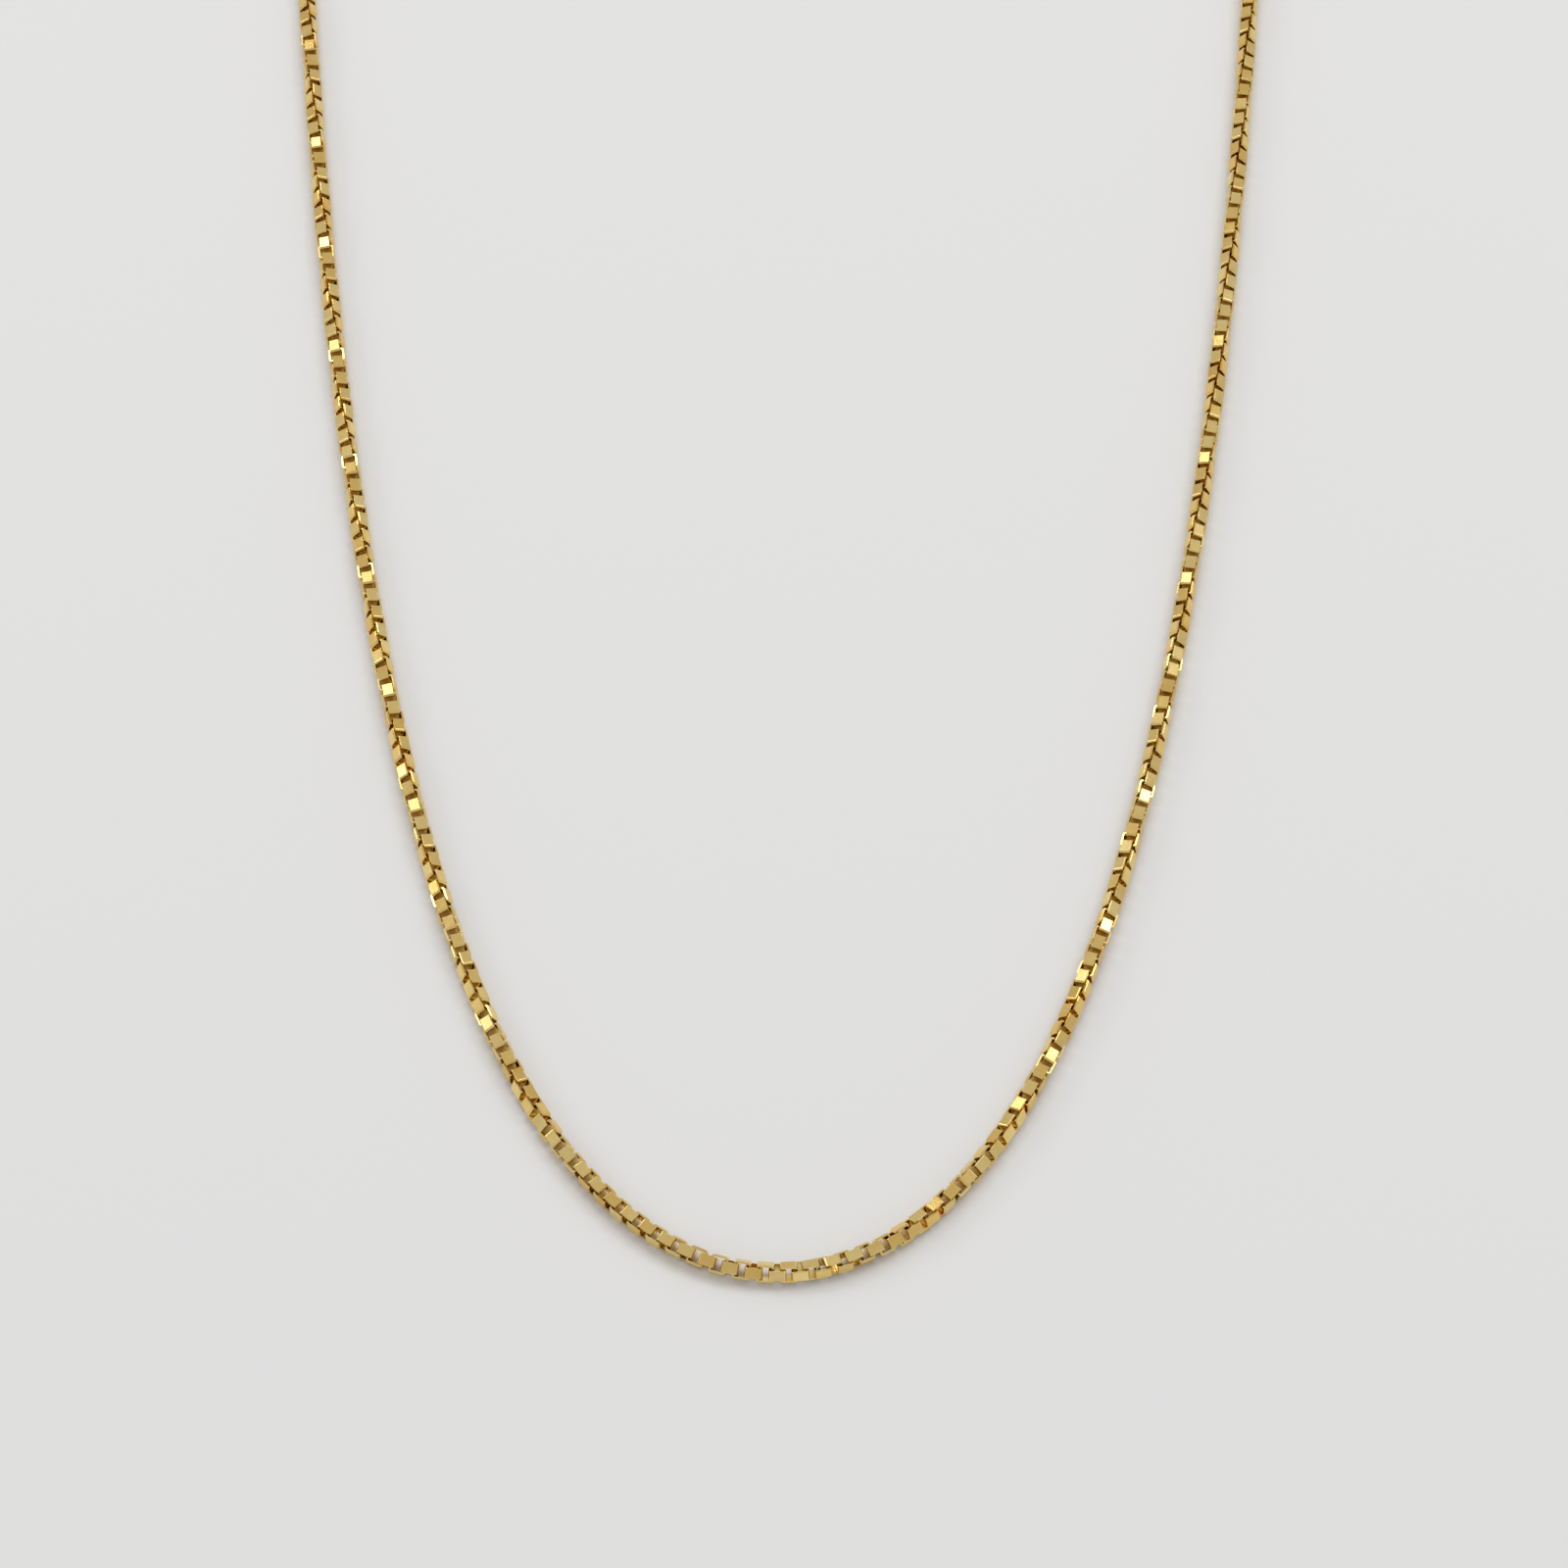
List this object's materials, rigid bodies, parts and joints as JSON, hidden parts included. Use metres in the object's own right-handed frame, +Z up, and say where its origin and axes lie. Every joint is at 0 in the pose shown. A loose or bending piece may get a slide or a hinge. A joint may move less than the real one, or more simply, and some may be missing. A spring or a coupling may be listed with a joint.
{
  "type": "chain necklace",
  "caption": "Fine yellow gold box chain necklace of square links, laid out in a curve with its swivel lobster clasp undone.",
  "frame": {"origin": "on the table, under the middle of the necklace as it lies", "axes": "+Z up from the table, +Y from the front of the necklace towards its two ends, +X to the right with the front nearest the viewer"},
  "size_m": [0.101, 0.2198, 0.0022],
  "materials": {
    "link_gold": "polished yellow gold",
    "wire_gold": "polished yellow gold wire",
    "clasp_gold": "polished cast yellow gold",
    "spring_gold": "drawn gold spring strip"
  },
  "bodies": {
    "chain_front": {"chain_front": "link_gold"},
    "chain_left_01": {"chain_left_01": "link_gold"},
    "chain_right_01": {"chain_right_01": "link_gold"},
    "chain_left_02": {"chain_left_02": "link_gold"},
    "chain_right_02": {"chain_right_02": "link_gold"},
    "chain_left_03": {"chain_left_03": "link_gold"},
    "chain_right_03": {"chain_right_03": "link_gold"},
    "chain_left_04": {"chain_left_04": "link_gold"},
    "chain_right_04": {"chain_right_04": "link_gold"},
    "chain_left_05": {"chain_left_05": "link_gold"},
    "chain_right_05": {"chain_right_05": "link_gold"},
    "chain_left_06": {"chain_left_06": "link_gold"},
    "chain_right_06": {"chain_right_06": "link_gold"},
    "chain_left_07": {"chain_left_07": "link_gold"},
    "chain_right_07": {"chain_right_07": "link_gold"},
    "chain_left_08": {"chain_left_08": "link_gold"},
    "chain_right_08": {"chain_right_08": "link_gold"},
    "chain_left_09": {"chain_left_09": "link_gold"},
    "chain_right_09": {"chain_right_09": "link_gold"},
    "chain_left_10": {"chain_left_10": "link_gold"},
    "chain_right_10": {"chain_right_10": "link_gold"},
    "chain_left_11": {"chain_left_11": "link_gold"},
    "chain_right_11": {"chain_right_11": "link_gold"},
    "chain_left_12": {"chain_left_12": "link_gold"},
    "chain_right_12": {"chain_right_12": "link_gold"},
    "chain_left_13": {"chain_left_13": "link_gold"},
    "chain_right_13": {"chain_right_13": "link_gold"},
    "chain_left_14": {"chain_left_14": "link_gold"},
    "chain_right_14": {"chain_right_14": "link_gold"},
    "chain_left_15": {"chain_left_15": "link_gold"},
    "chain_right_15": {"chain_right_15": "link_gold"},
    "chain_left_16": {"chain_left_16": "link_gold"},
    "chain_right_16": {"chain_right_16": "link_gold"},
    "chain_left_17": {"chain_left_17": "link_gold"},
    "chain_right_17": {"chain_right_17": "link_gold"},
    "chain_left_18": {"chain_left_18": "link_gold"},
    "chain_right_18": {"chain_right_18": "link_gold"},
    "chain_left_19": {"chain_left_19": "link_gold"},
    "chain_right_19": {"chain_right_19": "link_gold"},
    "chain_left_20": {"chain_left_20": "link_gold"},
    "chain_right_20": {"chain_right_20": "link_gold"},
    "chain_left_21": {"chain_left_21": "link_gold"},
    "chain_right_21": {"chain_right_21": "link_gold"},
    "chain_left_22": {"chain_left_22": "link_gold"},
    "chain_right_22": {"chain_right_22": "link_gold"},
    "jump_ring": {"jump_ring": "wire_gold"},
    "swivel_eye": {"swivel_eye": "wire_gold"},
    "clasp": {"clasp_body": "clasp_gold", "clasp_pin": "clasp_gold", "clasp_spring": "spring_gold"},
    "trigger": {"clasp_trigger": "clasp_gold"},
    "catch_ring": {"catch_ring": "wire_gold"}
  },
  "joints": [
    {"name": "left_01_swing", "type": "hinge", "parent": "chain_front", "child": "chain_left_01", "pos_m": [-0.00397, -0.10827, 0.00081], "axis": [0, 0, 1], "range_deg": [-12, 12]},
    {"name": "left_02_lift", "type": "hinge", "parent": "chain_left_01", "child": "chain_left_02", "pos_m": [-0.012, -0.10283, 0.00081], "axis": [0.7213, 0.6926, 0], "range_deg": [-12, 12]},
    {"name": "left_03_swing", "type": "hinge", "parent": "chain_left_02", "child": "chain_left_03", "pos_m": [-0.01776, -0.09495, 0.00081], "axis": [0, 0, -1], "range_deg": [-12, 12]},
    {"name": "left_04_lift", "type": "hinge", "parent": "chain_left_03", "child": "chain_left_04", "pos_m": [-0.02202, -0.08614, 0.00081], "axis": [-0.9248, -0.3805, 0], "range_deg": [-12, 12]},
    {"name": "left_05_swing", "type": "hinge", "parent": "chain_left_04", "child": "chain_left_05", "pos_m": [-0.02535, -0.07694, 0.00081], "axis": [0, 0, -1], "range_deg": [-12, 12]},
    {"name": "left_06_lift", "type": "hinge", "parent": "chain_left_05", "child": "chain_left_06", "pos_m": [-0.02807, -0.06753, 0.00081], "axis": [-0.9674, -0.2533, 0], "range_deg": [-12, 12]},
    {"name": "left_07_swing", "type": "hinge", "parent": "chain_left_06", "child": "chain_left_07", "pos_m": [-0.03036, -0.05801, 0.00081], "axis": [0, 0, 1], "range_deg": [-12, 12]},
    {"name": "left_08_lift", "type": "hinge", "parent": "chain_left_07", "child": "chain_left_08", "pos_m": [-0.03233, -0.04843, 0.00081], "axis": [0.9821, 0.1886, 0], "range_deg": [-12, 12]},
    {"name": "left_09_swing", "type": "hinge", "parent": "chain_left_08", "child": "chain_left_09", "pos_m": [-0.03407, -0.03879, 0.00081], "axis": [0, 0, 1], "range_deg": [-12, 12]},
    {"name": "left_10_lift", "type": "hinge", "parent": "chain_left_09", "child": "chain_left_10", "pos_m": [-0.03562, -0.02912, 0.00081], "axis": [0.9887, 0.1499, 0], "range_deg": [-12, 12]},
    {"name": "left_11_swing", "type": "hinge", "parent": "chain_left_10", "child": "chain_left_11", "pos_m": [-0.03701, -0.01943, 0.00081], "axis": [0, 0, -1], "range_deg": [-12, 12]},
    {"name": "left_12_lift", "type": "hinge", "parent": "chain_left_11", "child": "chain_left_12", "pos_m": [-0.03828, -0.00973, 0.00081], "axis": [-0.9922, -0.1243, 0], "range_deg": [-12, 12]},
    {"name": "left_13_swing", "type": "hinge", "parent": "chain_left_12", "child": "chain_left_13", "pos_m": [-0.03945, -0.00001, 0.00081], "axis": [0, 0, -1], "range_deg": [-12, 12]},
    {"name": "left_14_lift", "type": "hinge", "parent": "chain_left_13", "child": "chain_left_14", "pos_m": [-0.04053, 0.00972, 0.00081], "axis": [-0.9944, -0.1061, 0], "range_deg": [-12, 12]},
    {"name": "left_15_swing", "type": "hinge", "parent": "chain_left_14", "child": "chain_left_15", "pos_m": [-0.04153, 0.01946, 0.00081], "axis": [0, 0, 1], "range_deg": [-12, 12]},
    {"name": "left_16_lift", "type": "hinge", "parent": "chain_left_15", "child": "chain_left_16", "pos_m": [-0.04247, 0.02921, 0.00081], "axis": [0.9957, 0.0925, 0], "range_deg": [-12, 12]},
    {"name": "left_17_swing", "type": "hinge", "parent": "chain_left_16", "child": "chain_left_17", "pos_m": [-0.04335, 0.03896, 0.00081], "axis": [0, 0, 1], "range_deg": [-12, 12]},
    {"name": "left_18_lift", "type": "hinge", "parent": "chain_left_17", "child": "chain_left_18", "pos_m": [-0.04417, 0.04871, 0.00081], "axis": [0.9966, 0.082, 0], "range_deg": [-12, 12]},
    {"name": "left_19_swing", "type": "hinge", "parent": "chain_left_18", "child": "chain_left_19", "pos_m": [-0.04495, 0.05847, 0.00081], "axis": [0, 0, -1], "range_deg": [-12, 12]},
    {"name": "left_20_lift", "type": "hinge", "parent": "chain_left_19", "child": "chain_left_20", "pos_m": [-0.04569, 0.06823, 0.00081], "axis": [-0.9973, -0.0737, 0], "range_deg": [-12, 12]},
    {"name": "left_21_swing", "type": "hinge", "parent": "chain_left_20", "child": "chain_left_21", "pos_m": [-0.0464, 0.078, 0.00081], "axis": [0, 0, -1], "range_deg": [-12, 12]},
    {"name": "left_22_lift", "type": "hinge", "parent": "chain_left_21", "child": "chain_left_22", "pos_m": [-0.04707, 0.08777, 0.00081], "axis": [-0.9978, -0.0668, 0], "range_deg": [-12, 12]},
    {"name": "right_01_swing", "type": "hinge", "parent": "chain_front", "child": "chain_right_01", "pos_m": [0.00543, -0.10834, 0.00081], "axis": [0, 0, -1], "range_deg": [-12, 12]},
    {"name": "right_02_lift", "type": "hinge", "parent": "chain_right_01", "child": "chain_right_02", "pos_m": [0.01321, -0.1033, 0.00081], "axis": [0.7052, -0.709, 0], "range_deg": [-12, 12]},
    {"name": "right_03_swing", "type": "hinge", "parent": "chain_right_02", "child": "chain_right_03", "pos_m": [0.01887, -0.09589, 0.00081], "axis": [0, 0, 1], "range_deg": [-12, 12]},
    {"name": "right_04_lift", "type": "hinge", "parent": "chain_right_03", "child": "chain_right_04", "pos_m": [0.02309, -0.08756, 0.00081], "axis": [-0.9184, 0.3957, 0], "range_deg": [-12, 12]},
    {"name": "right_05_swing", "type": "hinge", "parent": "chain_right_04", "child": "chain_right_05", "pos_m": [0.02641, -0.07882, 0.00081], "axis": [0, 0, 1], "range_deg": [-12, 12]},
    {"name": "right_06_lift", "type": "hinge", "parent": "chain_right_05", "child": "chain_right_06", "pos_m": [0.02911, -0.06987, 0.00081], "axis": [-0.9644, 0.2644, 0], "range_deg": [-12, 12]},
    {"name": "right_07_swing", "type": "hinge", "parent": "chain_right_06", "child": "chain_right_07", "pos_m": [0.0314, -0.0608, 0.00081], "axis": [0, 0, -1], "range_deg": [-12, 12]},
    {"name": "right_08_lift", "type": "hinge", "parent": "chain_right_07", "child": "chain_right_08", "pos_m": [0.03337, -0.05166, 0.00081], "axis": [0.9804, -0.1971, 0], "range_deg": [-12, 12]},
    {"name": "right_09_swing", "type": "hinge", "parent": "chain_right_08", "child": "chain_right_09", "pos_m": [0.0351, -0.04248, 0.00081], "axis": [0, 0, -1], "range_deg": [-12, 12]},
    {"name": "right_10_lift", "type": "hinge", "parent": "chain_right_09", "child": "chain_right_10", "pos_m": [0.03665, -0.03325, 0.00081], "axis": [0.9876, -0.1568, 0], "range_deg": [-12, 12]},
    {"name": "right_11_swing", "type": "hinge", "parent": "chain_right_10", "child": "chain_right_11", "pos_m": [0.03804, -0.02401, 0.00081], "axis": [0, 0, 1], "range_deg": [-12, 12]},
    {"name": "right_12_lift", "type": "hinge", "parent": "chain_right_11", "child": "chain_right_12", "pos_m": [0.03932, -0.01475, 0.00081], "axis": [-0.9915, 0.13, 0], "range_deg": [-12, 12]},
    {"name": "right_13_swing", "type": "hinge", "parent": "chain_right_12", "child": "chain_right_13", "pos_m": [0.04048, -0.00547, 0.00081], "axis": [0, 0, 1], "range_deg": [-12, 12]},
    {"name": "right_14_lift", "type": "hinge", "parent": "chain_right_13", "child": "chain_right_14", "pos_m": [0.04156, 0.00382, 0.00081], "axis": [-0.9938, 0.111, 0], "range_deg": [-12, 12]},
    {"name": "right_15_swing", "type": "hinge", "parent": "chain_right_14", "child": "chain_right_15", "pos_m": [0.04256, 0.01311, 0.00081], "axis": [0, 0, -1], "range_deg": [-12, 12]},
    {"name": "right_16_lift", "type": "hinge", "parent": "chain_right_15", "child": "chain_right_16", "pos_m": [0.0435, 0.02242, 0.00081], "axis": [0.9953, -0.0968, 0], "range_deg": [-12, 12]},
    {"name": "right_17_swing", "type": "hinge", "parent": "chain_right_16", "child": "chain_right_17", "pos_m": [0.04437, 0.03173, 0.00081], "axis": [0, 0, -1], "range_deg": [-12, 12]},
    {"name": "right_18_lift", "type": "hinge", "parent": "chain_right_17", "child": "chain_right_18", "pos_m": [0.0452, 0.04104, 0.00081], "axis": [0.9963, -0.0859, 0], "range_deg": [-12, 12]},
    {"name": "right_19_swing", "type": "hinge", "parent": "chain_right_18", "child": "chain_right_19", "pos_m": [0.04598, 0.05036, 0.00081], "axis": [0, 0, 1], "range_deg": [-12, 12]},
    {"name": "right_20_lift", "type": "hinge", "parent": "chain_right_19", "child": "chain_right_20", "pos_m": [0.04672, 0.05968, 0.00081], "axis": [-0.997, 0.0771, 0], "range_deg": [-12, 12]},
    {"name": "right_21_swing", "type": "hinge", "parent": "chain_right_20", "child": "chain_right_21", "pos_m": [0.04742, 0.069, 0.00081], "axis": [0, 0, 1], "range_deg": [-12, 12]},
    {"name": "right_22_lift", "type": "hinge", "parent": "chain_right_21", "child": "chain_right_22", "pos_m": [0.04809, 0.07833, 0.00081], "axis": [-0.9975, 0.07, 0], "range_deg": [-12, 12]},
    {"name": "jump_ring_lift", "type": "hinge", "parent": "chain_left_22", "child": "jump_ring", "pos_m": [-0.04772, 0.09767, 0.00081], "axis": [0.9979, 0.064, 0], "range_deg": [-30, 10]},
    {"name": "eye_round_ring", "type": "hinge", "parent": "jump_ring", "child": "swivel_eye", "pos_m": [-0.04776, 0.09841, 0.00092], "axis": [0.0097, -0.1508, 0.9885], "range_deg": [-50, 50]},
    {"name": "clasp_swivel", "type": "hinge", "parent": "swivel_eye", "child": "clasp", "pos_m": [-0.04799, 0.10196, 0.0011], "axis": [-0.064, 0.9979, 0], "continuous": true},
    {"name": "trigger_open", "type": "hinge", "parent": "clasp", "child": "trigger", "pos_m": [-0.04768, 0.10408, 0.0011], "axis": [0, 0, 1], "range_deg": [0, 18], "stiffness_Nm_per_rad": 0.002, "springref_deg": -11.46},
    {"name": "catch_ring_lift", "type": "hinge", "parent": "chain_right_22", "child": "catch_ring", "pos_m": [0.04874, 0.08782, 0.00081], "axis": [0.9978, -0.067, 0], "range_deg": [-2, 22]}
  ]
}
